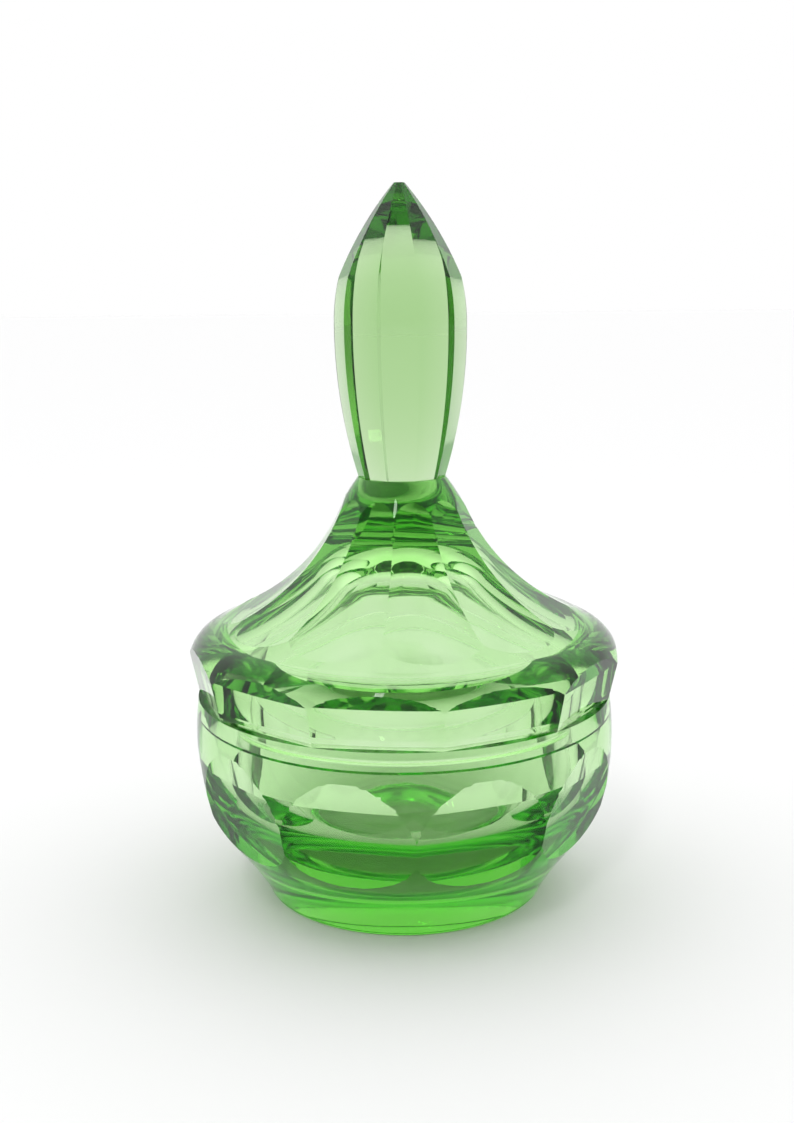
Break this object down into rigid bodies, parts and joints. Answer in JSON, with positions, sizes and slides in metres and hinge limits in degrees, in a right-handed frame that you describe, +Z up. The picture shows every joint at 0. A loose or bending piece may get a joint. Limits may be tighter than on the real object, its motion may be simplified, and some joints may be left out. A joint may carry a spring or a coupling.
{
  "type": "covered powder jar",
  "caption": "Low round glass jar with oval cuts, a lift-off panelled lid with a locating flange, and a tall faceted spindle finial.",
  "frame": {"origin": "centre of the flat underside of the foot, on the surface that the jar stands on", "axes": "+Z up along the axis of the jar, through the finial's tip; -Y is the front"},
  "size_m": [0.1106, 0.1109, 0.1821],
  "materials": {
    "bowl_glass": "clear green glass, cut and polished, with a thick base",
    "lid_glass": "clear green glass, cut and polished, with a ground seat",
    "finial_glass": "clear green glass, cut in long faces and polished"
  },
  "bodies": {
    "bowl": {"bowl": "bowl_glass"},
    "lid": {"lid": "lid_glass", "finial": "finial_glass"}
  },
  "joints": [
    {"name": "lid_lift", "type": "slide", "parent": "bowl", "child": "lid", "axis": [0, 0, 1], "range_m": [0, 0.12]}
  ]
}
